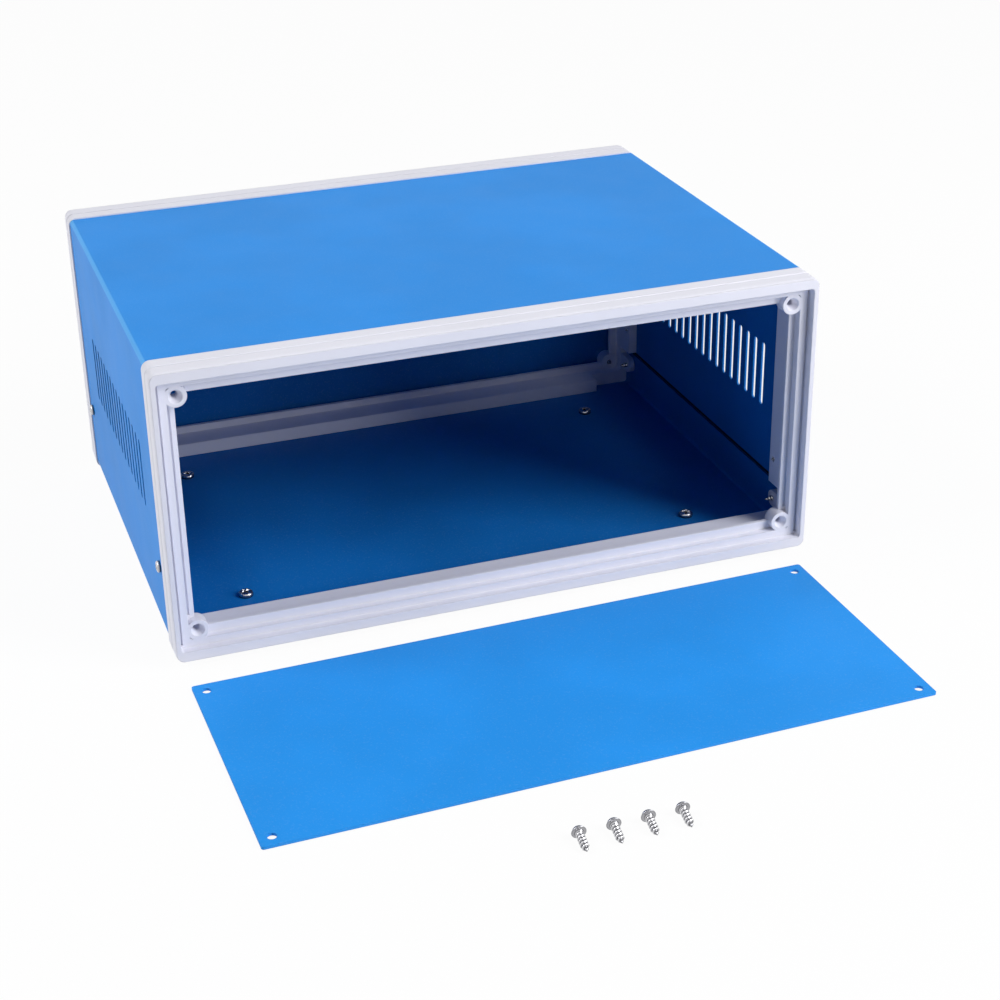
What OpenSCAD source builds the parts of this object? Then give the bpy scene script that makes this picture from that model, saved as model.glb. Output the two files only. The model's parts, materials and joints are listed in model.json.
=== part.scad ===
// Instrument enclosure: a folded sheet-metal case between two moulded frames.
// The front panel and its four screws lie on the floor in front of the open case.
// Distances run back from the front lip, and the case stands on four rubber feet.

/* [Case] */
// Width over the frame rims
case_width = 250; // [200:1:320]
// Height of the frame rims
case_height = 112; // [90:1:160]
// Depth from the front lip to the rear lip
case_depth = 187; // [150:1:260]
// Gap between the floor and the frame rims
floor_gap = 3; // [3:0.5:8]

/* [Frames] */
// Corner radius of the frame rim
rim_radius = 3.2; // [2.8:0.1:8]
// Depth of the frame ring, up to the edge of the cover
frame_depth = 13; // [12:0.5:16]
// Depth of the lip in front of the groove
lip_depth = 6.6; // [6:0.1:8]
// How far the lip lies inside the rim
lip_inset = 0.1; // [0.1:0.1:1.2]
// Rounding of the front edge of the lip
lip_round = 1.9; // [1:0.1:2.1]
// Width of the groove between lip and rim
groove_width = 0.5; // [0.3:0.1:1.2]
// Depth of the groove below the lip
groove_depth = 0.3; // [0.2:0.1:1.2]
// Rounding of the front edge of the rim
rim_round = 0.5; // [0.3:0.1:1.2]
// Inset of the panel pocket from the rim, at the stiles
pocket_inset_side = 2.2; // [2:0.1:4]
// Inset of the panel pocket from the rim, at the rails
pocket_inset_rail = 4.2; // [3.5:0.1:5]
// Depth of the ledge and of the bosses, which the panel rests on
seat_depth = 3.5; // [3:0.1:5]
// Inset of the ledge's inner edge from the rim, at the stiles
ledge_inset_side = 6; // [5.5:0.1:7]
// Inset of the ledge's inner edge from the rim, at the rails
ledge_inset_rail = 7.1; // [6.5:0.1:8]
// Depth of the sunk border round the opening
border_depth = 6.4; // [5.5:0.1:8]
// Thickness of the border
border_thick = 1.7; // [1.4:0.1:3]
// Width of the gutters along the stiles
gutter_width = 1.1; // [0.6:0.1:1.4]
// Depth of the gutters along the stiles
gutter_depth = 1.4; // [0.8:0.1:1.8]
// Inset of the clear opening from the rim, at the stiles
mouth_inset_side = 8.9; // [8.4:0.1:11]
// Inset of the clear opening from the rim, at the rails
mouth_inset_rail = 10.5; // [9.5:0.1:12]
// Thickness of the ring behind the border, from the rim inward, at the stiles
ring_wall_side = 5.3; // [4.5:0.1:5.8]
// Thickness of the ring behind the border, from the rim inward, at the rails
ring_wall_rail = 7.5; // [6:0.1:8.5]
// Corner radius of the steps and of the opening
inner_radius = 1.2; // [0.5:0.1:2.5]

/* [Tongues] */
// How far back the top tongue and the bottom tongue reach
tongue_reach = 19.8; // [18:0.1:28]
// How far back the side tongues reach, which hold the cover screws
side_reach = 22.5; // [22:0.1:28]
// Distance from the side of the rim to the end of the top and bottom tongues
tongue_end = 20; // [18:0.5:40]

/* [Panel screws] */
// Outside diameter of the corner bosses
boss_d = 8; // [7:0.1:10]
// Length of the corner bosses
boss_length = 5.6; // [4.5:0.1:8]
// Diameter of the funnel in a boss
funnel_d = 5; // [4:0.1:6]
// Depth of the funnel in a boss
funnel_depth = 2.6; // [1:0.1:4]
// Pilot hole for the self-tapping screws
pilot_d = 2.4; // [2:0.1:2.6]
// Distance from the side edge of a panel to its holes
hole_inset_side = 4.5; // [3.5:0.1:6]
// Distance from the top edge of a panel to its holes
hole_inset_rail = 4.7; // [3.5:0.1:6]
// Diameter of the holes in the panels
panel_hole_d = 3.3; // [2.8:0.1:4]

/* [Panels] */
// Thickness of the front and rear panels
panel_thick = 1; // [0.8:0.1:2]
// Corner radius of the panels
panel_radius = 1; // [0.5:0.1:2]
// Clearance of a panel in its pocket, at each side
panel_clear_side = 2.5; // [1.5:0.1:2.8]
// Clearance of a panel in its pocket, at the top and at the bottom
panel_clear_rail = 1.7; // [0.8:0.1:2]
// Distance from the case to the panel on the floor
panel_gap = 11.3; // [5:0.1:60]
// How far the panel on the floor lies to the left
panel_left = 1.8; // [0:0.1:5]
// Turn of the panel on the floor, degrees
panel_turn = 0.8; // [-3:0.05:3]

/* [Sheet metal] */
// Thickness of the cover sheet and of the bottom sheet
sheet = 0.8; // [0.6:0.1:1.5]
// How far the cover lies inside the rim
cover_inset = 0.5; // [0.2:0.1:1]
// Outside radius of the cover's bends
cover_bend = 1.7; // [1.6:0.1:3]
// Height of the cover's lower edges above the rim's lower edge
cover_lift = 3.8; // [2:0.1:4]
// Height of the bottom sheet above the rim's lower edge
plate_lift = 0.9; // [0.6:0.1:2]
// Outside height of the bottom sheet's side flanges
flange_height = 17; // [15:0.5:19]
// Outside radius of the flanges' bends
flange_bend = 2; // [1.6:0.1:3]
// Clearance between pieces that fit together
fit = 0.15; // [0.1:0.05:0.3]

/* [Vents] */
// Number of slots on each side
vent_count = 16; // [5:1:18]
// Distance from slot to slot
vent_pitch = 6.85; // [5:0.05:8]
// Width of a slot
vent_width = 2.7; // [1.5:0.1:3.5]
// Length of a slot
vent_length = 26.5; // [12:0.5:40]
// Height of the middle of the slots above the rim's lower edge
vent_height = 58; // [45:0.5:70]
// Distance from the front lip to the middle of the row
vent_middle = 91.5; // [80:0.5:110]

/* [Cover and flange screws] */
// Distance from the lip back to the cover screws
cover_screw_back = 19.6; // [19:0.1:20.5]
// Height of the cover screws above the rim's lower edge
cover_screw_height = 30; // [26:0.5:45]
// Distance from the lip back to the flange screws
flange_screw_back = 19.6; // [19:0.1:22]
// Height of the flange screws above the rim's lower edge
flange_screw_height = 12.7; // [10:0.1:13.5]
// Outside radius of the lugs that the flange screws bite in
lug_radius = 3.4; // [2.5:0.1:3.6]
// Clearance hole for these screws
screw_hole_d = 3.1; // [2.8:0.1:3.6]
// Thickness of these lugs
lug_thick = 2.5; // [1.5:0.1:3]
// Diameter of the flange screws' flat heads
flat_head_d = 4.3; // [3.8:0.1:4.8]
// How far the flange screws' tips stand out past the lugs
tip_out = 3.2; // [1:0.1:4]
// How far the cover screws' tips stand out past the side tongues
tip_over = 0.8; // [0.6:0.1:2]

/* [Screws] */
// Diameter of the self-tapping shanks
tap_d = 2.3; // [1.8:0.1:2.3]
// Diameter of the self-tapping screws' heads
tap_head_d = 5.4; // [4.5:0.1:6]
// Height of the self-tapping screws' heads
tap_head_h = 1.9; // [1.4:0.1:2.2]
// Width of the brim round the panel screws' heads
brim_width = 0.6; // [0.4:0.1:0.9]
// Thickness of the brim round the panel screws' heads
brim_thick = 0.6; // [0.4:0.1:0.8]
// Diameter of the cover screws' heads
side_head_d = 4.4; // [4:0.1:6]
// Height of the cover screws' heads
side_head_h = 1.5; // [1.2:0.1:2.2]
// Length of the panel screws under the head
tap_length = 8.4; // [7:0.1:9.5]
// Length of a screw's point
tap_point = 2.2; // [1:0.1:3]
// Width of the cross in a head
cross_width = 0.8; // [0.4:0.1:1.2]
// Depth of the cross in a head
cross_depth = 0.9; // [0.4:0.1:1.2]

/* [Loose screws] */
// Distance from the panel on the floor to the tips of the loose screws
loose_gap = 39.3; // [20:0.1:60]
// Place of the first loose screw to the left of the middle
loose_first = 28.2; // [20:0.1:40]
// Distance from one loose screw to the next
loose_pitch = 11.75; // [10:0.05:15]
// Turn of the loose screws, degrees
loose_turn = -4; // [-15:1:15]
// Diameter over the thread of a loose screw
loose_d = 3; // [2.4:0.1:3.2]

/* [Feet] */
// Diameter of a foot at the top
foot_d = 18; // [16:0.5:24]
// Diameter of a foot at the floor
foot_base_d = 16; // [14:0.5:22]
// Recess for the nut, from below
foot_recess_d = 8; // [7.5:0.1:9]
// Thickness of rubber between the bottom sheet and the nut
foot_web = 1.5; // [1:0.1:2.5]
// Distance between the feet, across
foot_span = 182; // [120:1:190]
// Distance from the front lip to the front feet
foot_front = 37.5; // [30:0.5:60]
// Distance from the rear lip to the rear feet
foot_rear = 40; // [30:0.5:60]
// Diameter of the foot screws
foot_screw_d = 2.9; // [2.4:0.1:3]
// Diameter of the foot screws' heads
foot_head_d = 5.6; // [4.5:0.1:6.5]
// Height of the foot screws' heads
foot_head_h = 2; // [1.4:0.1:2.4]
// Width over the flats of a nut
nut_flats = 5.5; // [5:0.1:6]
// Thickness of a nut
nut_thick = 1.7; // [1.4:0.1:2.4]
// Clearance hole for the foot screws
foot_hole_d = 3.3; // [3.1:0.1:3.6]

/* [Hidden] */
$fn = 48;
half_w = case_width / 2;
rim_low = floor_gap;
rim_top = floor_gap + case_height;
rim_mid = (rim_low + rim_top) / 2;
pocket_w = case_width - 2 * pocket_inset_side;
pocket_h = case_height - 2 * pocket_inset_rail;
mouth_w = case_width - 2 * mouth_inset_side;
mouth_h = case_height - 2 * mouth_inset_rail;
panel_w = pocket_w - 2 * panel_clear_side;
panel_h = pocket_h - 2 * panel_clear_rail;
hole_x = panel_w / 2 - hole_inset_side;
hole_z = panel_h / 2 - hole_inset_rail;
border_back = border_depth + border_thick;
ring_x = half_w - ring_wall_side;
// Each gutter runs beside a wall, sunk into the ledge or into the thin border: inset, from, to, half length
gutters = [[pocket_inset_side, seat_depth, seat_depth + gutter_depth, pocket_h / 2 - gutter_width],
    [ledge_inset_side, border_depth, border_depth + border_thick / 2, hole_z - boss_d / 2 - gutter_width]];
// The cover, from the rim inward
cover_half = half_w - cover_inset;
cover_top = rim_top - cover_inset;
cover_low = rim_low + cover_lift;
cover_in = cover_half - sheet;
edge_front = frame_depth + fit;
edge_length = case_depth - 2 * edge_front;
// The bottom sheet and its flanges
plate_low = rim_low + plate_lift;
plate_top = plate_low + sheet;
flange_half = cover_in - fit;
flange_in = flange_half - sheet;
flange_top = plate_low + flange_height;
// The tongues and lugs of the frames
side_tongue_x = cover_in - fit;
side_tongue_low = flange_top + 1.5;
side_tongue_high = rim_top - tongue_end / 2;
top_tongue_z = cover_top - sheet - fit;
low_tongue_z = plate_top + fit;
tongue_half = half_w - tongue_end;
lug_x = flange_in - fit;
lug_in = lug_x - lug_thick;
lug_z = rim_low + flange_screw_height;
cover_screw_z = rim_low + cover_screw_height;
tip_share = 0.25;
// The feet
foot_ys = [foot_front, case_depth - foot_rear];
nut_top = plate_low - foot_web;
foot_length = plate_top - nut_top + nut_thick + 0.2;
// What lies on the floor
panel_y = -panel_gap - panel_h / 2;
loose_tip_r = loose_d * tip_share / 2;
loose_tilt = atan((tap_head_d - loose_d) / 2 / (tap_length - tap_point));
loose_lift = loose_d / 2 * cos(loose_tilt) - tap_point * sin(loose_tilt);
loose_y = panel_y - panel_h / 2 - loose_gap;
// A loose screw rests on its head and on its shank, and its blunt tip is the set's foremost point
front_end = loose_y - loose_tip_r * sqrt(1 - pow(cos(loose_tilt) * cos(loose_turn), 2));
y_shift = -(case_depth + front_end) / 2;
over = 1;

frame_white = [0.9, 0.9, 0.93];
case_blue = [0.16, 0.5, 0.85];
steel = [0.75, 0.76, 0.78];
rubber = [0.12, 0.12, 0.13];

// A rectangle with round corners
module plan(w, h, r) {
    square([w - 2 * r, h], center = true);
    square([w, h - 2 * r], center = true);
    for (sx = [-1, 1], sy = [-1, 1]) translate([sx * (w / 2 - r), sy * (h / 2 - r)]) circle(r);
}

// A flat outline seen from the front, made solid from y0 back to y1
module slab(y0, y1) {
    translate([0, y1, 0]) rotate([90, 0, 0]) linear_extrude(height = y1 - y0) children();
}

// A screw along z: its head stands on z = 0 and its shank hangs below; a brim makes it a washer head
module pan_screw(head_d, head_h, shank_d, length, point, brim = 0) {
    dome = head_h * 0.55;
    cap_r = head_d / 2 - brim;
    difference() {
        rotate_extrude() {
            square([cap_r - dome, head_h]);
            square([cap_r, head_h - dome]);
            intersection() {
                translate([cap_r - dome, head_h - dome]) circle(dome);
                square([cap_r, head_h]);
            }
            if (brim > 0) square([head_d / 2, brim_thick]);
        }
        for (a = [0, 90]) rotate([0, 0, a]) translate([0, 0, head_h - cross_depth / 2 + 0.05])
            cube([head_d * 0.55, cross_width, cross_depth + 0.1], center = true);
    }
    translate([0, 0, point - length]) cylinder(d = shank_d, h = length - point);
    translate([0, 0, -length]) cylinder(d1 = shank_d * tip_share, d2 = shank_d, h = point);
}

// Section of a frame's rim, groove and lip: outward along x, backward along y
module rim_section() {
    lip_r = rim_radius - lip_inset;
    square([lip_r - groove_depth, frame_depth]);
    translate([0, lip_round]) square([lip_r, lip_depth - lip_round]);
    square([lip_r - lip_round, lip_depth]);
    translate([lip_r - lip_round, lip_round]) circle(lip_round);
    rim_front = lip_depth + groove_width;
    translate([0, rim_front]) square([rim_radius - rim_round, frame_depth - rim_front]);
    translate([0, rim_front + rim_round]) square([rim_radius, frame_depth - rim_front - rim_round]);
    translate([rim_radius - rim_round, rim_front + rim_round]) circle(rim_round);
}

// The half of the section on the outer side of the corner's axis
module rim_half() {
    intersection() {
        rim_section();
        square([rim_radius + over, frame_depth]);
    }
}

// The ring of a frame, with the inside still filled
module rim_block() {
    bar_x = half_w - rim_radius;
    bar_z = case_height / 2 - rim_radius;
    for (a = [0, 1, 2, 3]) {
        sx = a == 0 || a == 3 ? 1 : -1;
        sz = a > 1 ? 1 : -1;
        translate([sx * bar_x, 0, sz * bar_z]) rotate([0, a * 90, 0]) rotate([-90, 0, 0])
            rotate_extrude(angle = 90) rim_half();
    }
    for (s = [0, 1]) {
        rotate([0, s * 180, 0]) translate([bar_x, 0, 0])
            linear_extrude(height = 2 * bar_z, center = true) rim_half();
        rotate([0, s * 180, 0]) translate([0, 0, bar_z]) rotate([0, -90, 0])
            linear_extrude(height = 2 * bar_x, center = true) rim_half();
    }
    translate([-bar_x, 0, -bar_z]) cube([2 * bar_x, frame_depth, 2 * bar_z]);
}

// Front frame in its place; the rear frame is its mirror image
module frame() {
    boss_at = [for (sx = [-1, 1], sz = [-1, 1]) [sx * hole_x, rim_mid + sz * hole_z]];
    difference() {
        union() {
            difference() {
                translate([0, 0, rim_mid]) rim_block();
                translate([0, 0, rim_mid]) {
                    slab(-over, seat_depth) plan(pocket_w, pocket_h, inner_radius);
                    slab(-over, border_depth) plan(case_width - 2 * ledge_inset_side,
                        case_height - 2 * ledge_inset_rail, inner_radius);
                    slab(border_back, frame_depth + over) plan(2 * ring_x,
                        case_height - 2 * ring_wall_rail, inner_radius);
                    for (g = gutters, s = [-1, 1])
                        translate([s > 0 ? half_w - g[0] - gutter_width : g[0] - half_w, g[1] - over, -g[3]])
                            cube([gutter_width, g[2] - g[1] + over, 2 * g[3]]);
                }
            }
            // Tongues inside the cover and on the bottom sheet
            for (s = [-1, 1]) translate([s > 0 ? ring_x : -side_tongue_x, border_back, side_tongue_low])
                cube([side_tongue_x - ring_x, side_reach - border_back, side_tongue_high - side_tongue_low]);
            translate([-tongue_half, border_back, rim_top - ring_wall_rail])
                cube([2 * tongue_half, tongue_reach - border_back, top_tongue_z - rim_top + ring_wall_rail]);
            translate([-tongue_half, border_back, low_tongue_z])
                cube([2 * tongue_half, tongue_reach - border_back, rim_low + ring_wall_rail - low_tongue_z]);
            // Lugs beside the flanges
            for (s = [-1, 1]) {
                translate([s * (lug_x + lug_in) / 2, flange_screw_back, lug_z]) rotate([0, 90, 0])
                    cylinder(r = lug_radius, h = lug_x - lug_in, center = true);
                translate([s > 0 ? lug_in : -lug_x, frame_depth - over, lug_z - lug_radius])
                    cube([lug_x - lug_in, flange_screw_back - frame_depth + over, 2 * lug_radius]);
            }
        }
        translate([0, 0, rim_mid]) slab(-over, border_back + over) plan(mouth_w, mouth_h, inner_radius);
        // Screw holes in the lugs and in the side tongues
        for (s = [-1, 1]) {
            translate([s * (lug_x + lug_in) / 2, flange_screw_back, lug_z]) rotate([0, 90, 0])
                cylinder(d = pilot_d, h = lug_x - lug_in + 2 * over, center = true);
            translate([s * (side_tongue_x + ring_x) / 2, cover_screw_back, cover_screw_z])
                rotate([0, 90, 0]) cylinder(d = pilot_d, h = side_tongue_x - ring_x + 2 * over, center = true);
        }
        for (p = boss_at) translate([p[0], seat_depth, p[1]]) rotate([-90, 0, 0])
            cylinder(d = boss_d - over, h = boss_length);
    }
    // Bosses for the panel screws
    for (p = boss_at) translate([p[0], seat_depth, p[1]]) rotate([-90, 0, 0]) difference() {
        cylinder(d = boss_d, h = boss_length);
        translate([0, 0, -over]) cylinder(d = pilot_d, h = boss_length + 2 * over);
        translate([0, 0, -over]) cylinder(d = funnel_d, h = over);
        cylinder(d1 = funnel_d, d2 = pilot_d, h = funnel_depth);
    }
}

module front_frame() color(frame_white) frame();
module rear_frame() color(frame_white) translate([0, case_depth, 0]) mirror([0, 1, 0]) frame();

// Outline of the folded cover, seen from the front
module cover_outline(inset, bend) {
    w = 2 * (cover_half - inset);
    h = cover_top - inset - cover_low;
    translate([-w / 2, cover_low]) square([w, h - bend]);
    translate([-w / 2 + bend, cover_low]) square([w - 2 * bend, h]);
    for (s = [-1, 1]) translate([s * (w / 2 - bend), cover_top - inset - bend]) circle(bend);
}

module top_cover() color(case_blue) difference() {
    slab(edge_front, edge_front + edge_length) difference() {
        cover_outline(0, cover_bend);
        cover_outline(sheet, cover_bend - sheet);
        translate([-half_w, cover_low - over]) translate([half_w - cover_in, 0])
            square([2 * cover_in, 2 * over]);
    }
    // The row of vent slots on each side
    for (s = [-1, 1], i = [0 : vent_count - 1])
        translate([s * (cover_half - sheet / 2), vent_middle + (i - (vent_count - 1) / 2) * vent_pitch,
            rim_low + vent_height]) rotate([0, 90, 0])
            linear_extrude(height = 2 * sheet, center = true) {
                square([vent_length - vent_width, vent_width], center = true);
                for (e = [-1, 1]) translate([e * (vent_length - vent_width) / 2, 0]) circle(d = vent_width);
            }
    for (y = [cover_screw_back, case_depth - cover_screw_back])
        translate([0, y, cover_screw_z]) rotate([0, 90, 0])
            cylinder(d = screw_hole_d, h = case_width, center = true);
}

module bottom_plate() color(case_blue) difference() {
    slab(edge_front, edge_front + edge_length) {
        r = flange_bend;
        difference() {
            union() {
                translate([-flange_half + r, plate_low]) square([2 * (flange_half - r), flange_height]);
                translate([-flange_half, plate_low + r]) square([2 * flange_half, flange_height - r]);
                for (s = [-1, 1]) translate([s * (flange_half - r), plate_low + r]) circle(r);
            }
            translate([-flange_in + r - sheet, plate_top]) square([2 * (flange_in - r + sheet), flange_height]);
            translate([-flange_in, plate_top + r - sheet]) square([2 * flange_in, flange_height]);
            for (s = [-1, 1]) translate([s * (flange_half - r), plate_low + r]) circle(r - sheet);
        }
    }
    for (s = [-1, 1], y = foot_ys) translate([s * foot_span / 2, y, plate_low - over])
        cylinder(d = foot_hole_d, h = sheet + 2 * over);
    // Countersunk holes in the flanges
    for (s = [-1, 1], y = [flange_screw_back, case_depth - flange_screw_back])
        translate([s * flange_in, y, lug_z]) rotate([0, s * 90, 0]) {
            cylinder(d1 = tap_d + 2 * fit, d2 = flat_head_d + 2 * fit, h = sheet);
            translate([0, 0, -sheet]) cylinder(d = tap_d + 2 * fit, h = 2 * sheet);
        }
}

// A flat panel with a hole in each corner, standing on z = 0
module panel() difference() {
    linear_extrude(height = panel_thick) plan(panel_w, panel_h, panel_radius);
    for (sx = [-1, 1], sy = [-1, 1]) translate([sx * hole_x, sy * hole_z, -over])
        cylinder(d = panel_hole_d, h = panel_thick + 2 * over);
}

module front_panel() color(case_blue) translate([-panel_left, panel_y, 0])
    rotate([0, 0, panel_turn]) panel();
module rear_panel() color(case_blue) translate([0, case_depth - seat_depth, rim_mid])
    rotate([-90, 0, 0]) panel();

// Rubber foot under the bottom sheet; s is the side and y the place
module foot(s, y) color(rubber) translate([s * foot_span / 2, y, 0]) difference() {
    cylinder(d1 = foot_base_d, d2 = foot_d, h = plate_low);
    translate([0, 0, -over]) cylinder(d = foot_recess_d, h = nut_top + over);
    cylinder(d = foot_hole_d, h = plate_low + over);
}

module foot_screw(s, y) color(steel) translate([s * foot_span / 2, y, plate_top])
    pan_screw(foot_head_d, foot_head_h, foot_screw_d, foot_length, 0.4);

module foot_nut(s, y) color(steel) translate([s * foot_span / 2, y, nut_top - nut_thick]) difference() {
    cylinder(d = nut_flats / cos(30), h = nut_thick, $fn = 6);
    translate([0, 0, -over]) cylinder(d = foot_screw_d + fit, h = nut_thick + 2 * over);
}

// Screw that holds the cover to a side tongue
module cover_screw(s, y) color(steel) translate([s * cover_half, y, cover_screw_z]) rotate([0, s * 90, 0])
    pan_screw(side_head_d, side_head_h, tap_d, cover_half - ring_x + tip_over, tap_point);

// Flat-head screw that holds a flange to a lug, level with the flange under the cover
module flange_screw(s, y) color(steel) translate([s * flange_half, y, lug_z]) rotate([0, s * 90, 0]) {
    length = flange_half - lug_in + tip_out;
    difference() {
        translate([0, 0, -sheet]) cylinder(d1 = tap_d, d2 = flat_head_d, h = sheet);
        for (a = [0, 90]) rotate([0, 0, a]) translate([0, 0, -sheet / 4 + 0.05])
            cube([flat_head_d * 0.6, cross_width, sheet / 2 + 0.1], center = true);
    }
    translate([0, 0, tap_point - length]) cylinder(d = tap_d, h = length - tap_point - sheet);
    translate([0, 0, -length]) cylinder(d1 = tap_d * tip_share, d2 = tap_d, h = tap_point);
}

// Screw that holds the rear panel
module rear_screw(sx, sz) color(steel)
    translate([sx * hole_x, case_depth - seat_depth + panel_thick, rim_mid + sz * hole_z])
    rotate([-90, 0, 0]) pan_screw(tap_head_d, tap_head_h, tap_d, tap_length, tap_point, brim_width);

// Screw of the front panel, lying on the edge of its head and on its shank
module loose_screw(i) color(steel) translate([-loose_first + (i - 1) * loose_pitch, loose_y,
    loose_lift]) rotate([0, 0, loose_turn]) rotate([loose_tilt - 90, 0, 0]) translate([0, 0, tap_length])
    pan_screw(tap_head_d, tap_head_h, loose_d, tap_length, tap_point, brim_width);

translate([0, y_shift, 0]) {
    front_frame();
    rear_frame();
    top_cover();
    bottom_plate();
    front_panel();
    rear_panel();
    foot(-1, foot_ys[0]);  // foot_front_left
    foot(1, foot_ys[0]);  // foot_front_right
    foot(-1, foot_ys[1]);  // foot_rear_left
    foot(1, foot_ys[1]);  // foot_rear_right
    foot_screw(-1, foot_ys[0]);  // foot_screw_front_left
    foot_screw(1, foot_ys[0]);  // foot_screw_front_right
    foot_screw(-1, foot_ys[1]);  // foot_screw_rear_left
    foot_screw(1, foot_ys[1]);  // foot_screw_rear_right
    foot_nut(-1, foot_ys[0]);  // foot_nut_front_left
    foot_nut(1, foot_ys[0]);  // foot_nut_front_right
    foot_nut(-1, foot_ys[1]);  // foot_nut_rear_left
    foot_nut(1, foot_ys[1]);  // foot_nut_rear_right
    cover_screw(-1, cover_screw_back);  // cover_screw_front_left
    cover_screw(1, cover_screw_back);  // cover_screw_front_right
    cover_screw(-1, case_depth - cover_screw_back);  // cover_screw_rear_left
    cover_screw(1, case_depth - cover_screw_back);  // cover_screw_rear_right
    flange_screw(-1, flange_screw_back);  // flange_screw_front_left
    flange_screw(1, flange_screw_back);  // flange_screw_front_right
    flange_screw(-1, case_depth - flange_screw_back);  // flange_screw_rear_left
    flange_screw(1, case_depth - flange_screw_back);  // flange_screw_rear_right
    rear_screw(-1, 1);  // rear_screw_top_left
    rear_screw(1, 1);  // rear_screw_top_right
    rear_screw(-1, -1);  // rear_screw_low_left
    rear_screw(1, -1);  // rear_screw_low_right
    loose_screw(1);  // loose_screw_1
    loose_screw(2);  // loose_screw_2
    loose_screw(3);  // loose_screw_3
    loose_screw(4);  // loose_screw_4
}
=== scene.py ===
# %% [markdown]
# # An open instrument case
#
# The object is a small instrument case: a blue folded cover and a blue bottom sheet held between two white
# moulded frames. Its front panel has been taken off and lies in front of it with its four screws. The solids
# come from the CAD model, at their real size and in their real places. This lesson gives them their finishes,
# makes the screws that the solids only stand for, and sets up the light and the camera of a catalogue picture.

# %% Load the case
import json
import math

import bmesh
import bpy
from mathutils import Matrix, Vector


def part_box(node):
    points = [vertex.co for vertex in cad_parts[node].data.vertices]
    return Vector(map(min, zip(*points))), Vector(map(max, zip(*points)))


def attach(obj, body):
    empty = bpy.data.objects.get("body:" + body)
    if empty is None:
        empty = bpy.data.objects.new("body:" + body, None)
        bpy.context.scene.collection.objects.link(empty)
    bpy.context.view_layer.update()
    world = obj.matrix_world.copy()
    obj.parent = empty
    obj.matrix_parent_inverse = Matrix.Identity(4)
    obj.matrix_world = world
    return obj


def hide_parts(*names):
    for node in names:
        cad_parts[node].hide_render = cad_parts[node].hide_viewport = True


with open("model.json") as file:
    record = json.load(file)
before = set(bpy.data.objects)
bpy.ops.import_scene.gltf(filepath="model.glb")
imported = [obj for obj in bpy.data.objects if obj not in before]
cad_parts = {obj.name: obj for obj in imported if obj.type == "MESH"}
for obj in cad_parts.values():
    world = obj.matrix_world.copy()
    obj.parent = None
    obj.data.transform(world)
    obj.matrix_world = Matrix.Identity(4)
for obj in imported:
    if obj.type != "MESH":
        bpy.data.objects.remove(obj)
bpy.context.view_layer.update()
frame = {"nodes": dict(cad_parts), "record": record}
nodes = frame["nodes"]
MM = 0.001
lip_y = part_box("front_frame")[0].y
print("pieces", len(nodes), "front lip at y =", round(lip_y / MM, 2), "mm")

# %% [markdown]
# ## The camera
#
# The picture was taken from the left of the open front and from above. The camera could be placed by eye, but
# then no edge would fall where it should. Here its place and its angles were worked out from the straight edges
# of the case, so the script states them: where the lens is, seen from the front lip on the floor, how far it
# turns to the right, looks down and leans, and its focal length in widths of the picture.


# %% Place the camera
def aim(yaw, pitch, roll):
    """The rotation of a camera that turns right by yaw, looks down by pitch and leans by roll."""
    forward = Vector((math.sin(yaw) * math.cos(pitch), math.cos(yaw) * math.cos(pitch), -math.sin(pitch)))
    right = Vector((math.cos(yaw), -math.sin(yaw), 0))
    up = right.cross(forward)
    across = right * math.cos(roll) + up * math.sin(roll)
    upward = up * math.cos(roll) - right * math.sin(roll)
    return Matrix((across, upward, -forward)).transposed()


SENSOR_MM = 36
FOCAL_WIDTHS = 1.9461
YAW, PITCH, ROLL = 19.316, 26.714, -0.902
LENS_PLACE_MM = (-212.11, -599.73, 366.15)

lens = bpy.data.cameras.new("catalogue_camera")
lens.sensor_fit = "HORIZONTAL"
lens.sensor_width = SENSOR_MM
lens.lens = FOCAL_WIDTHS * SENSOR_MM
lens.clip_start = 0.05
camera = bpy.data.objects.new("catalogue_camera", lens)
turn = aim(math.radians(YAW), math.radians(PITCH), math.radians(ROLL))
place = Vector(LENS_PLACE_MM) * MM + Vector((0, lip_y, 0))
camera.matrix_world = Matrix.Translation(place) @ turn.to_4x4()
bpy.context.scene.collection.objects.link(camera)
bpy.context.scene.camera = camera
print("camera at", [round(v, 3) for v in place], "lens", round(lens.lens, 1), "mm")

# %% [markdown]
# ## Writing shaders as sums
#
# A finish is a small formula: a colour, plus a little noise, times a mask. Node trees hide that formula in
# boxes and wires. One class here wraps a socket and overloads Python's operators, so the formula can be written
# as it would be on paper, and one method adds any other node that the formula needs.


# %% Wires and finishes
class Wire:
    """An output socket that can be added, multiplied and so on; each operation adds a Math node."""

    def __init__(self, finish, socket):
        self.finish = finish
        self.socket = socket

    def _maths(self, operation, first, second):
        return self.finish.node("ShaderNodeMath", {"operation": operation}, {0: first, 1: second})

    def __add__(self, other):
        return self._maths("ADD", self, other)

    def __radd__(self, other):
        return self._maths("ADD", other, self)

    def __sub__(self, other):
        return self._maths("SUBTRACT", self, other)

    def __rsub__(self, other):
        return self._maths("SUBTRACT", other, self)

    def __mul__(self, other):
        return self._maths("MULTIPLY", self, other)

    def __rmul__(self, other):
        return self._maths("MULTIPLY", other, self)

    def size(self):
        """The value without its sign."""
        return self.finish.node("ShaderNodeMath", {"operation": "ABSOLUTE"}, {0: self})

    def clear(self, low, high):
        """0 below low, 1 above high, and smooth between."""
        return self.finish.node(
            "ShaderNodeMapRange",
            {"interpolation_type": "SMOOTHSTEP"},
            {"Value": self, "From Min": low, "From Max": high, "To Min": 0.0, "To Max": 1.0},
        )


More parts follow.
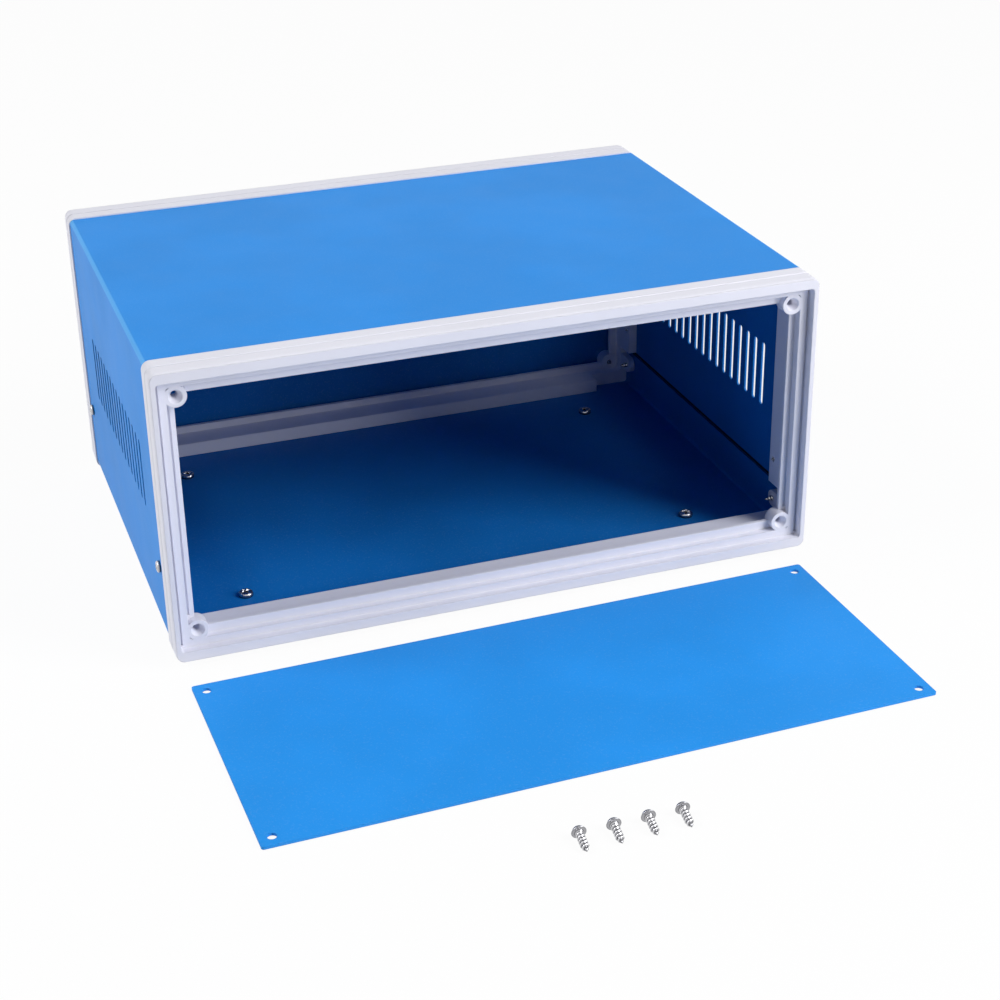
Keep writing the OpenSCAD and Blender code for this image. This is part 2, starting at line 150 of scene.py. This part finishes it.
class Finish:
    """A material that is being written: nodes go in through node(), and values may be wires or numbers."""

    def __init__(self, name, tree=None):
        self.material = None
        if tree is None:
            self.material = bpy.data.materials.new(name)
            self.material.use_nodes = True
            tree = self.material.node_tree
        self.tree = tree
        self.tree.nodes.clear()

    def node(self, kind, settings=None, inputs=None, out=0):
        made = self.tree.nodes.new(kind)
        for key, value in (settings or {}).items():
            if key == "stops":
                ramp = made.color_ramp.elements
                while len(ramp) < len(value):
                    ramp.new(0.5)
                for element, (place_on_ramp, shade) in zip(ramp, value):
                    element.position = place_on_ramp
                    element.color = shade
            else:
                setattr(made, key, value)
        for key, value in (inputs or {}).items():
            if isinstance(value, Wire):
                self.tree.links.new(value.socket, made.inputs[key])
            elif value is not None:
                made.inputs[key].default_value = value
        return Wire(self, made.outputs[out])

    def noise(self, points, scale, detail):
        """Cloudy noise in the object's own space: scale is how many lumps fit in a metre."""
        return self.node("ShaderNodeTexNoise", {}, {"Vector": points, "Scale": scale, "Detail": detail})

    def parts(self, vector):
        """The x, y and z of a vector as three wires."""
        made = self.node("ShaderNodeSeparateXYZ", {}, {0: vector}).socket.node
        return [Wire(self, socket) for socket in made.outputs]

    def mix(self, amount, first, second):
        """A colour between two colours; first and second may be wires or tuples."""
        return self.node("ShaderNodeMix", {"data_type": "RGBA"}, {0: amount, 6: first, 7: second}, out=2)

    def vectors(self, operation, first, second, out=0):
        """A Vector Math node on two vectors."""
        return self.node("ShaderNodeVectorMath", {"operation": operation}, {0: first, 1: second}, out=out)

    def end(self, shader):
        """Ends the tree in its output node and gives the material back."""
        kind = "ShaderNodeOutputMaterial" if self.material else "ShaderNodeOutputWorld"
        output = self.tree.nodes.new(kind)
        self.tree.links.new(shader.socket, output.inputs["Surface"])
        return self.material


print("shader helpers ready")

# %% [markdown]
# ## Blue powder coat
#
# The sheets are steel with a baked powder coat. Up close such paint isn't smooth: it has the slight orange peel
# of powder that flowed in the oven, and its gloss varies a little. A plain colour would look like plastic film.
# Two sizes of noise give the peel as a bump, a wide cloud shifts the colour by a few hundredths, and the bevel
# node softens the cut edges, which on the real sheet carry a rounded bead of paint.
#
# Three more touches are painted light and shade, fitted to the picture, and the real coat may not have them. The
# faces inside the case take a deeper blue as painted shade, because no light that was tried made the inside as dark
# as the picture. A face counts as one of them where its normal points to the middle of the case, which a dot product
# tells.
# The bends take a paler blue as a painted highlight, where the picture has a pale line: there the normal leans both
# sideways and up, so the product of the two parts finds it. A dark band just above the flanges is a painted shadow
# for the gap that the picture shows between flange and cover. The loose panel is a shade lighter than the case, as
# painted light.

# %% Mix the paint
BLUE = (0.021, 0.275, 0.79, 1)
# The loose panel's blue is a shade lighter than the case's, as painted light.
PANEL_BLUE_PAINTED_LIGHT = (0.022, 0.305, 0.86, 1)
# A paler blue on the bends: a painted highlight.
BEND_PAINTED_HIGHLIGHT = (0.13, 0.5, 1.0, 1)
# A near-black band above the flanges: a painted shadow for the gap between flange and cover.
GAP_PAINTED_SHADOW = (0.0005, 0.004, 0.012, 1)
GAP_HEIGHT, GAP_EDGE, GAP_FADE = 0.9 * MM, 0.1 * MM, 0.3 * MM
BEND_HIGHLIGHT_SHARE = 0.75
# A deeper blue for the faces inside the case: painted shade.
INNER_PAINTED_SHADE = (0.004, 0.146, 0.47, 1)
frame_low, rear_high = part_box("front_frame")[0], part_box("rear_frame")[1]
case_middle = (frame_low + rear_high) / 2
flange_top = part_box("bottom_plate")[1].z


def tint(colour, share):
    """A colour made lighter or darker by a share, no lighter than white."""
    return tuple(min(1.0, c * share) for c in colour[:3]) + (1,)


def powder_coat(name, colour, painted_inner_shade=None, ways=(1, 1, 1), gap_painted_shadow=0):
    """Paint; faces that look to the middle of the case along ways take painted_inner_shade, a darker blue as painted
    shade.
    """
    coat = Finish(name)
    points = coat.node("ShaderNodeTexCoord", out="Object")
    cloud = coat.noise(points, 14, 3).clear(0.35, 0.65)
    speck = coat.noise(points, 1600, 1)
    peel = coat.noise(points, 900, 2) + 0.6 * coat.noise(points, 2600, 1)
    shade = coat.mix(cloud, tint(colour, 0.95), tint(colour, 1.03))
    if painted_inner_shade:
        facing = coat.node("ShaderNodeNewGeometry", out="True Normal")
        sideways, _, upward = coat.parts(facing)
        # Painted highlight: the bends, where the normal leans both sideways and up, take the paler blue.
        bend_highlight = (2.0 * sideways.size() * upward).clear(0.15, 0.8)
        shade = coat.mix(BEND_HIGHLIGHT_SHARE * bend_highlight, shade, BEND_PAINTED_HIGHLIGHT)
        # Painted shadow: a thin band just above the flange top takes the near-black colour.
        above = coat.parts(points)[2] - flange_top
        gap = above.clear(-GAP_EDGE, GAP_EDGE) * (1 - above.clear(GAP_HEIGHT, GAP_HEIGHT + GAP_FADE))
        # Painted shade: the faces inside the case take the deeper blue, and the painted gap shadow goes on top of it.
        deep = coat.mix(cloud, tint(painted_inner_shade, 0.92), tint(painted_inner_shade, 1.06))
        deep = coat.mix(gap_painted_shadow * gap, deep, GAP_PAINTED_SHADOW)
        outward = coat.vectors("MULTIPLY", coat.vectors("SUBTRACT", points, case_middle), ways)
        lean = coat.vectors("DOT_PRODUCT", facing, outward, out="Value")
        # The dot product picks the faces that get the painted shade.
        shade = coat.mix(lean.clear(0.5 * MM, 4 * MM), deep, shade)
    shade = coat.mix(0.03 * speck.clear(0.55, 0.75), shade, (1, 1, 1, 1))
    bead = coat.node("ShaderNodeBevel", {"samples": 4}, {"Radius": 0.0004})
    skin = coat.node("ShaderNodeBump", {}, {"Strength": 0.14, "Distance": 0.00006, "Height": peel, "Normal": bead})
    gloss = 0.46 + 0.1 * coat.noise(points, 60, 2)
    shader = coat.node(
        "ShaderNodeBsdfPrincipled", {}, {"Base Color": shade, "Roughness": gloss, "Normal": skin, "IOR": 1.25}
    )
    return coat.end(shader)


# The loose panel takes the lighter blue, as painted light.
panel_paint_with_painted_light = powder_coat("blue_powder_coat", PANEL_BLUE_PAINTED_LIGHT)
# The sheets and the rear panel carry the painted shade inside and the painted highlight on the bends; the sheets also
# carry the painted gap shadow.
sheet_paint = powder_coat("blue_sheet_coat", BLUE, INNER_PAINTED_SHADE, ways=(1, 0, 1), gap_painted_shadow=1)
rear_paint = powder_coat("blue_rear_coat", BLUE, INNER_PAINTED_SHADE)
print("made", panel_paint_with_painted_light.name, sheet_paint.name, rear_paint.name)
print("middle of the case", [round(c, 3) for c in case_middle])

# %% [markdown]
# ## White moulding
#
# The frames are injection-moulded in a white plastic that leans to lavender. Its skin is a fine spark texture
# from the mould, finer and flatter than the paint, with soft edges everywhere because moulds have no sharp ones.

# %% Mould the plastic
WHITE = (0.78, 0.78, 0.865, 1)


def moulded(name, colour):
    skin = Finish(name)
    points = skin.node("ShaderNodeTexCoord", out="Object")
    grain = skin.noise(points, 2200, 2) + 0.5 * skin.noise(points, 5200, 1)
    cloud = skin.noise(points, 25, 2)
    shade = skin.mix(cloud.clear(0.35, 0.65), tint(colour, 0.97), colour)
    soft = skin.node("ShaderNodeBevel", {"samples": 4}, {"Radius": 0.0005})
    bump = skin.node("ShaderNodeBump", {}, {"Strength": 0.08, "Distance": 0.00003, "Height": grain, "Normal": soft})
    gloss = 0.36 + 0.08 * skin.noise(points, 90, 2)
    shader = skin.node(
        "ShaderNodeBsdfPrincipled", {}, {"Base Color": shade, "Roughness": gloss, "Normal": bump, "IOR": 1.48}
    )
    return skin.end(shader)


frame_white = moulded("white_moulding", WHITE)
print("made", frame_white.name)

# %% [markdown]
# ## Bright zinc and black rubber
#
# The screws are steel with a bright zinc plate, so they mirror the white studio. A plain mirror would look like
# chrome, so light and shade are painted on: the crests of the thread and the rims get a painted highlight, while the
# valleys and the punched cross get painted shade and painted dark reflections. The lathe below writes that as a
# number on each point of the mesh, called wear, from 0 in a hollow to 1 on a crest, and the ramp here
# turns it into grey. The nuts are cut from bar and have one value of it all over. The feet are plain black rubber
# with a dusty, matt skin.

# %% Plate the screws and mould the feet
# Greys from near black in the hollows, painted shade, to near white on crests and rims, a painted highlight.
ZINC_SHADE_AND_SHEEN_RAMP = [
    (0.0, (0.02, 0.02, 0.022, 1)),
    (0.3, (0.13, 0.13, 0.14, 1)),
    (0.6, (0.42, 0.42, 0.44, 1)),
    (1.0, (0.88, 0.88, 0.90, 1)),
]


def zinc(name, wear=None):
    plate = Finish(name)
    points = plate.node("ShaderNodeTexCoord", out="Object")
    tumble = plate.noise(points, 1500, 3)
    stain = plate.noise(points, 420, 2)
    painted_shade_and_sheen = plate.node("ShaderNodeAttribute", {"attribute_name": "wear"}, out="Fac") if wear is None else wear
    shade = plate.node("ShaderNodeValToRGB", {"stops": ZINC_SHADE_AND_SHEEN_RAMP}, {0: painted_shade_and_sheen + 0.16 * (stain - 0.5)})
    gloss = 0.14 + 0.2 * tumble
    bump = plate.node("ShaderNodeBump", {}, {"Strength": 0.1, "Distance": 0.00003, "Height": tumble})
    shader = plate.node(
        "ShaderNodeBsdfPrincipled", {}, {"Base Color": shade, "Metallic": 1.0, "Roughness": gloss, "Normal": bump}
    )
    return plate.end(shader)


def rubber(name):
    skin = Finish(name)
    points = skin.node("ShaderNodeTexCoord", out="Object")
    dust = skin.noise(points, 260, 3)
    shade = skin.mix(dust.clear(0.4, 0.75), (0.016, 0.016, 0.017, 1), (0.035, 0.034, 0.033, 1))
    soft = skin.node("ShaderNodeBevel", {"samples": 4}, {"Radius": 0.0008})
    bump = skin.node("ShaderNodeBump", {}, {"Strength": 0.2, "Distance": 0.00008, "Height": dust, "Normal": soft})
    shader = skin.node(
        "ShaderNodeBsdfPrincipled", {}, {"Base Color": shade, "Roughness": 0.72 + 0.12 * dust, "Normal": bump}
    )
    return skin.end(shader)


zinc_plate = zinc("bright_zinc")
zinc_nut = zinc("nut_zinc", wear=0.62)
foot_rubber = rubber("black_rubber")
finish_of_slot = {
    "frame_plastic": frame_white,
    "blue_paint": sheet_paint,
    "screw_steel": zinc_plate,
    "foot_rubber": foot_rubber,
}
finish_of_node = {"front_panel": panel_paint_with_painted_light, "rear_panel": rear_paint}
finish_of_node.update({name: zinc_nut for name in nodes if name.startswith("foot_nut")})
for part in frame["record"]["subparts"]:
    solid = nodes[part["node"]]
    solid.data.materials.clear()
    solid.data.materials.append(finish_of_node.get(part["node"], finish_of_slot[part["material_slot"]]))
print("dressed", len(nodes), "solids in", len(finish_of_slot), "finishes")

# %% [markdown]
# ## The front tongue
#
# Behind the front rail a tongue lies on the bottom sheet and keeps the sheet's edge out of sight. In the solid it
# stops short of the corners, but on the real moulding it runs right up to the side walls. The scene adds the whole
# strip, a hair larger than the solid's own, so that no seam shows. A scaled cube would have knife edges; the strip is
# a section with rounded shoulders, drawn once and pulled along the rail, with a shoulder at each end as well.

# %% Pull the tongue along the rail
TONGUE_HALF, TONGUE_FRONT, TONGUE_BACK, TONGUE_LOW, TONGUE_TOP = 119.5, 12.9, 19.86, 4.9, 10.55
SHOULDER = 0.35


def shouldered(low, high, round_by, steps=4):
    """A strip's section as points from its low front corner round to its low back corner."""
    (y0, z0), (y1, z1) = low, high
    arc = [math.radians(90 * i / steps) for i in range(steps + 1)]
    front = [(y0 + round_by * (1 - math.cos(a)), z1 - round_by * (1 - math.sin(a))) for a in arc]
    back = [(y1 - round_by * (1 - math.sin(a)), z1 - round_by * (1 - math.cos(a))) for a in arc]
    return [(y0, z0)] + front + back + [(y1, z0)]


def pulled_strip(name, section, inset, stations):
    """Sections at stations (x, share of the shoulder) joined into one closed strip; lengths in millimetres."""
    mesh = bmesh.new()
    middle_y = sum(y for y, z in section) / len(section)
    low_z = min(z for y, z in section)
    loops = []
    for x, share in stations:
        loop = []
        for y, z in section:
            y += (inset if y < middle_y else -inset) * share
            z -= inset * share if z > low_z else 0.0
            loop.append(mesh.verts.new((x * MM, y * MM + lip_y, z * MM)))
        loops.append(loop)
    for first, second in zip(loops, loops[1:]):
        for k in range(len(section)):
            n = (k + 1) % len(section)
            mesh.faces.new((first[k], first[n], second[n], second[k]))
    mesh.faces.new(loops[0])
    mesh.faces.new(list(reversed(loops[-1])))
    bmesh.ops.recalc_face_normals(mesh, faces=mesh.faces)
    data = bpy.data.meshes.new(name)
    mesh.to_mesh(data)
    mesh.free()
    strip = bpy.data.objects.new(name, data)
    bpy.context.scene.collection.objects.link(strip)
    return strip


section = shouldered((TONGUE_FRONT, TONGUE_LOW), (TONGUE_BACK, TONGUE_TOP), SHOULDER)
ends = [(-TONGUE_HALF, 1.0), (SHOULDER - TONGUE_HALF, 0.0), (TONGUE_HALF - SHOULDER, 0.0), (TONGUE_HALF, 1.0)]
front_tongue = pulled_strip("front_tongue", section, SHOULDER, ends)
front_tongue.data.materials.append(frame_white)
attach(front_tongue, "root")
print("front tongue", len(front_tongue.data.polygons), "faces")

# %% [markdown]
# ## Screws
#
# The solids carry each screw as a plain pin with a head. A real self-tapping screw is a lathe part with a rolled
# thread: its section is round everywhere except for a ridge that winds down the shank, and for the cross that is
# punched in its head. A boolean of a helix could make it, but leaves a ragged mesh. So it is made as one lathe grid
# in which two small rules shape the rings: the ridge adds to the radius according to the turn, and the cross takes
# away from the height near the axis. The same rules give each point its painted shade and sheen.


# %% Bend the rings
BRIM, BRIM_H = 0.45, 0.55


def cross_depth_at(x, y, reach, width):
    """How deep the punched cross is at a point of the head, from 0 to 1."""

    def arm(along, across):
        edge = max(0.0, min(1.0, (width / 2 - abs(across)) / (0.28 * width) + 0.5))
        end = max(0.0, min(1.0, (reach - abs(along)) / (0.35 * reach)))
        return edge * end**0.7

    return max(arm(x, y), arm(y, x))


def ridge_at(height, angle, pitch):
    """The rolled thread's profile: 1 on the crest and 0 in the wide valley."""
    phase = (height / pitch - angle / math.tau) % 1.0
    return max(0.0, 1.0 - abs(phase - 0.5) / 0.32)


def head_rings(head_d, head_h, core_d, brim, flat):
    """The head's section from its middle out and down to the shank, as radius, height, kind and painted shade and
    sheen.
    """
    head_r, core_r = head_d / 2, core_d / 2
    cap_r = head_r - brim
    foot = BRIM_H if brim else 0.0
    rings = []
    # The last value of each ring is its painted shade and sheen: lower in creases and hollows, higher on the dome and
    # on the rim of the brim.
    for i in range(1, 27):
        t = i / 26
        if flat:
            rings.append((head_r * t, 0.0, "top", 0.62))
        elif brim:
            turn = t * math.pi / 2
            rise = (head_h - foot) * math.cos(turn) ** 0.8 if i < 26 else 0.0
            rings.append((cap_r * math.sin(turn) ** 0.8, foot + rise, "top", 0.6 - 0.25 * t**4))
        else:
            dome_r = cap_r * math.sin(t * math.pi / 2) ** 0.9
            rings.append((dome_r, head_h * (1 - 0.62 * t**3.2), "top", 0.74 - 0.3 * t**6))
    if flat:
        rings += [(core_r + (head_r - core_r) * k, -head_h * (1 - k), "side", 0.4) for k in (0.9, 0.45, 0.0)]
        return rings, -head_h
    if brim:
        rings += [(cap_r + 0.06, foot * 0.97, "side", 0.2), (cap_r + 0.2, foot * 0.93, "side", 0.5)]
        rings += [(head_r - 0.14, foot * 0.84, "side", 0.6), (head_r - 0.03, foot * 0.62, "side", 0.85)]
        rings += [(head_r, foot * 0.36, "side", 0.6), (head_r - 0.04, foot * 0.1, "side", 0.4)]
    else:
        rings += [(head_r, head_h * 0.2, "side", 0.34), (head_r * 0.97, head_h * 0.05, "side", 0.12)]
    rings += [(head_r * 0.92, 0.0, "side", 0.5), (core_r + 0.75, -0.02, "side", 0.56)]
    rings += [(core_r + 0.45, -0.16, "side", 0.3), (core_r + 0.3, -0.5, "side", 0.75)]
    return rings, -0.6


print("a panel screw's head has", len(head_rings(5.0, 1.9, 2.0, BRIM, False)[0]), "rings")


# %% Turn a screw
def turned_screw(name, head_d, head_h, core_d, thread_d, length, point, pitch, sides=48, brim=0.0, flat=False):
    """A screw along z in millimetres: its head stands on z = 0 and its tip is at z = -length."""
    rings, start = head_rings(head_d, head_h, core_d, brim, flat)
    reach, width = head_d * (0.28 if brim else 0.32), head_d * 0.15
    deep = head_h * (0.75 if flat else 0.62)
    count = max(12, int((length + start) / pitch * 12))
    rings += [(core_d / 2, start - (length + start) * i / count, "shank", 0.3) for i in range(count + 1)]
    mesh = bmesh.new()
    loops, wear = [], []
    for r, z, kind, ring_shade_and_sheen in rings:
        loop = []
        for k in range(sides):
            a = math.tau * k / sides
            radius, height, point_shade_and_sheen = r, z, ring_shade_and_sheen
            if kind == "top":
                punched = cross_depth_at(r * math.cos(a), r * math.sin(a), reach, width)
                # The punched cross sinks and gets painted shade.
                height, point_shade_and_sheen = z - deep * punched, ring_shade_and_sheen * (1 - 0.95 * punched)
            elif kind == "shank":
                to_tip = max(0.0, z + length)
                taper = min(1.0, 0.06 + 0.94 * (to_tip / point) ** 0.8)
                fade = min(1.0, max(0.0, (start - z) / 0.5)) * min(1.0, max(0.0, to_tip - 0.15) / 0.8)
                ridge = ridge_at(z, a, pitch) * fade
                radius = r * taper + (thread_d - core_d) / 2 * ridge * (0.35 + 0.65 * taper)
                # The thread's crests get a painted highlight.
                point_shade_and_sheen = ring_shade_and_sheen + 0.7 * ridge
            loop.append(mesh.verts.new((radius * math.cos(a), radius * math.sin(a), height)))
            wear.append(point_shade_and_sheen)
        loops.append(loop)
    middle = mesh.verts.new((0, 0, rings[0][1] - deep))
    tip = mesh.verts.new((0, 0, -length))
    # Painted shade at the bottom of the cross, a painted highlight on the tip.
    wear += [0.02, 0.8]
    for k in range(sides):
        mesh.faces.new((middle, loops[0][k], loops[0][(k + 1) % sides]))
        mesh.faces.new((tip, loops[-1][(k + 1) % sides], loops[-1][k]))
    for upper, lower in zip(loops, loops[1:]):
        for k in range(sides):
            n = (k + 1) % sides
            mesh.faces.new((upper[k], lower[k], lower[n], upper[n]))
    for face in mesh.faces:
        face.smooth = True
    bmesh.ops.scale(mesh, vec=(MM, MM, MM), verts=mesh.verts)
    bmesh.ops.recalc_face_normals(mesh, faces=mesh.faces)
    data = bpy.data.meshes.new(name)
    mesh.to_mesh(data)
    mesh.free()
    data.attributes.new("wear", "FLOAT", "POINT").data.foreach_set("value", wear)
    data.materials.append(zinc_plate)
    screw = bpy.data.objects.new(name, data)
    bpy.context.scene.collection.objects.link(screw)
    return screw


def seat(screw, node, matrix):
    """Puts a screw in place of its solid, in its mesh as the solids do, and lets it go with the case."""
    screw.data.transform(matrix)
    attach(screw, "root")
    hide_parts(node)


print("lathe ready")

# %% [markdown]
# ## Loose panel screws
#
# The four screws of the front panel lie on the floor. They are washer heads: a small dome on a wide brim. A screw
# can't stand on its shank alone: it rests on the edge of its brim and on its thread, so its point dips. The same
# rule sets its tilt here as in the solids. Each one is rolled by its own angle, because dropped screws never line up.

# %% Lay the loose screws down
HEAD_D, HEAD_H, THREAD_D, LENGTH, POINT = 5.0, 1.9, 3.0, 8.4, 2.2
CORE_D, COARSE_PITCH = 2.0, 1.35
FIRST_TIP_X, TIP_STEP, TIP_Y, TURN = -28.2, 11.75, -150.8, -4
tilt = math.atan((HEAD_D - THREAD_D) / 2 / (LENGTH - POINT))
lift = THREAD_D / 2 * math.cos(tilt) - POINT * math.sin(tilt)
for number, roll in enumerate((20, 65, 38, 8)):
    screw = turned_screw(
        f"panel_screw_{number + 1}",
        HEAD_D,
        HEAD_H,
        CORE_D,
        THREAD_D,
        LENGTH,
        POINT,
        COARSE_PITCH,
        sides=72,
        brim=BRIM,
    )
    tip_at = Vector((FIRST_TIP_X + TIP_STEP * number, TIP_Y, lift)) * MM + Vector((0, lip_y, 0))
    lie = Matrix.Rotation(math.radians(TURN), 4, "Z") @ Matrix.Rotation(tilt - math.pi / 2, 4, "X")
    lie = lie @ Matrix.Rotation(math.radians(roll), 4, "Z") @ Matrix.Translation((0, 0, LENGTH * MM))
    seat(screw, f"loose_screw_{number + 1}", Matrix.Translation(tip_at) @ lie)
print("loose screws tilt", round(math.degrees(tilt), 1), "degrees")

# %% [markdown]
# ## Screws in the case
#
# The same lathe makes the screws that hold the case: cross heads on the bottom sheet above the feet, small pan heads
# on the sides, washer heads on the back, and flat heads under the cover whose points stand out inside. Each takes its
# place from the box of the solid that it stands for, so nothing is measured twice.

# %% Seat the other screws
FOOT_HEAD = (5.6, 2.0)
SIDE_HEAD = (4.4, 1.5)
FLAT_HEAD = (4.3, 0.8)
SHEET_THREAD = (1.8, 2.3)
SHEET_PITCH = 1.1
ROLL_STEP = 37
made = 0
for name in sorted(nodes):
    low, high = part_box(name)
    centre = (low + high) / 2
    side = 1 if centre.x > 0 else -1
    outer = high.x if side > 0 else low.x
    roll = Matrix.Rotation(math.radians(ROLL_STEP * made), 4, "Z")
    outward = Matrix.Rotation(side * math.pi / 2, 4, "Y")
    if name.startswith("foot_screw"):
        long = (high.z - low.z) / MM - FOOT_HEAD[1]
        screw = turned_screw(name + "_turned", *FOOT_HEAD, 2.6, 2.9, long, 0.5, 0.5)
        seat(screw, name, Matrix.Translation((centre.x, centre.y, high.z - FOOT_HEAD[1] * MM)) @ roll)
    elif name.startswith("cover_screw"):
        long = (high.x - low.x) / MM - SIDE_HEAD[1]
        screw = turned_screw(name + "_turned", *SIDE_HEAD, *SHEET_THREAD, long, POINT, SHEET_PITCH)
        at = Matrix.Translation((outer - side * SIDE_HEAD[1] * MM, centre.y, centre.z))
        seat(screw, name, at @ outward @ roll)
    elif name.startswith("flange_screw"):
        long = (high.x - low.x) / MM
        screw = turned_screw(name + "_turned", *FLAT_HEAD, *SHEET_THREAD, long, POINT, SHEET_PITCH, flat=True)
        seat(screw, name, Matrix.Translation((outer, centre.y, centre.z)) @ outward @ roll)
    elif name.startswith("rear_screw"):
        long = (high.y - low.y) / MM - HEAD_H
        screw = turned_screw(name + "_turned", HEAD_D, HEAD_H, *SHEET_THREAD, long, POINT, SHEET_PITCH, brim=BRIM)
        at = Matrix.Translation((centre.x, high.y - HEAD_H * MM, centre.z))
        seat(screw, name, at @ Matrix.Rotation(-math.pi / 2, 4, "X") @ roll)
    else:
        continue
    made += 1
print("seated", made, "screws")

# %% [markdown]
# ## Floor and studio light
#
# The catalogue picture has a pure white ground. The floor is white paper: it bounces light up into the case, and
# where the camera sees it, most of its brightness is its own, so that it stays white with only a faint shadow.
# One lamp above would light the inside evenly, and the picture doesn't show that: its inside is bright at the left
# and falls off to navy at the right. So the main light is a tall soft box in front and to the right, which shines in
# through the mouth past the right stile, whose shade is that navy. A second one lights the left side, a weak one
# behind keeps the back from going black, and the room around gives almost nothing.


# %% Lay the paper and hang the light
RAY_KINDS = ("Camera", "Glossy", "Transmission")
PAPER_GLOW = 0.955
PAPER_DROP = 0.2 * MM


def seen_directly(shop):
    """1 where a ray comes from the camera, or from it by way of metal or glass."""
    rays = shop.tree.nodes.new("ShaderNodeLightPath")
    camera_ray, glossy_ray, through_ray = (Wire(shop, rays.outputs[f"Is {k} Ray"]) for k in RAY_KINDS)
    return (camera_ray + glossy_ray + through_ray).clear(0.0, 1.0)


paper = Finish("white_paper")
matt = paper.node("ShaderNodeBsdfDiffuse", {}, {"Color": (0.86, 0.86, 0.87, 1)})
glow = paper.node("ShaderNodeEmission", {}, {"Color": (1, 1, 1, 1), "Strength": 1.0})
paper.end(paper.node("ShaderNodeMixShader", {}, {0: PAPER_GLOW * seen_directly(paper), 1: matt, 2: glow}))
sheet = bpy.data.meshes.new("floor_paper")
half = 4.0
corners = [(-half, -half, 0), (half, -half, 0), (half, half, 0), (-half, half, 0)]
sheet.from_pydata(corners, [], [(0, 1, 2, 3)])
sheet.materials.append(paper.material)
floor = bpy.data.objects.new("floor_paper", sheet)
floor.location.z = -PAPER_DROP
bpy.context.scene.collection.objects.link(floor)

world = bpy.data.worlds.new("studio")
bpy.context.scene.world = world
world.use_nodes = True
room = Finish("studio", world.node_tree)
around = room.node("ShaderNodeBackground", {}, {"Color": (0.9, 0.96, 1, 1), "Strength": 0.06})
white = room.node("ShaderNodeBackground", {}, {"Color": (1, 1, 1, 1), "Strength": 1.0})
room.end(room.node("ShaderNodeMixShader", {}, {0: seen_directly(room), 1: around, 2: white}))


def soft_box(name, azimuth, elevation, distance, size, watts):
    """A soft box that looks at the case; azimuth 0 is in front and 90 on its right; size is width, height."""
    flat = math.cos(math.radians(elevation))
    way = Vector((math.sin(math.radians(azimuth)) * flat, -math.cos(math.radians(azimuth)) * flat, 0))
    way.z = math.sin(math.radians(elevation))
    lamp = bpy.data.lights.new(name, "AREA")
    lamp.shape = "RECTANGLE"
    lamp.size, lamp.size_y = size
    lamp.energy = watts
    box = bpy.data.objects.new(name, lamp)
    box.location = case_middle + way * distance
    box.rotation_euler = (-way).to_track_quat("-Z", "Y").to_euler()
    bpy.context.scene.collection.objects.link(box)


soft_box("tall_soft_box", 45, 32, 1.6, (0.7, 1.35), 26)
soft_box("left_soft_box", -96, 41, 2.0, (0.9, 0.9), 22.5)
soft_box("back_soft_box", -150, 35, 2.0, (0.9, 0.9), 2)
scene = bpy.context.scene
scene.view_settings.view_transform = "Standard"
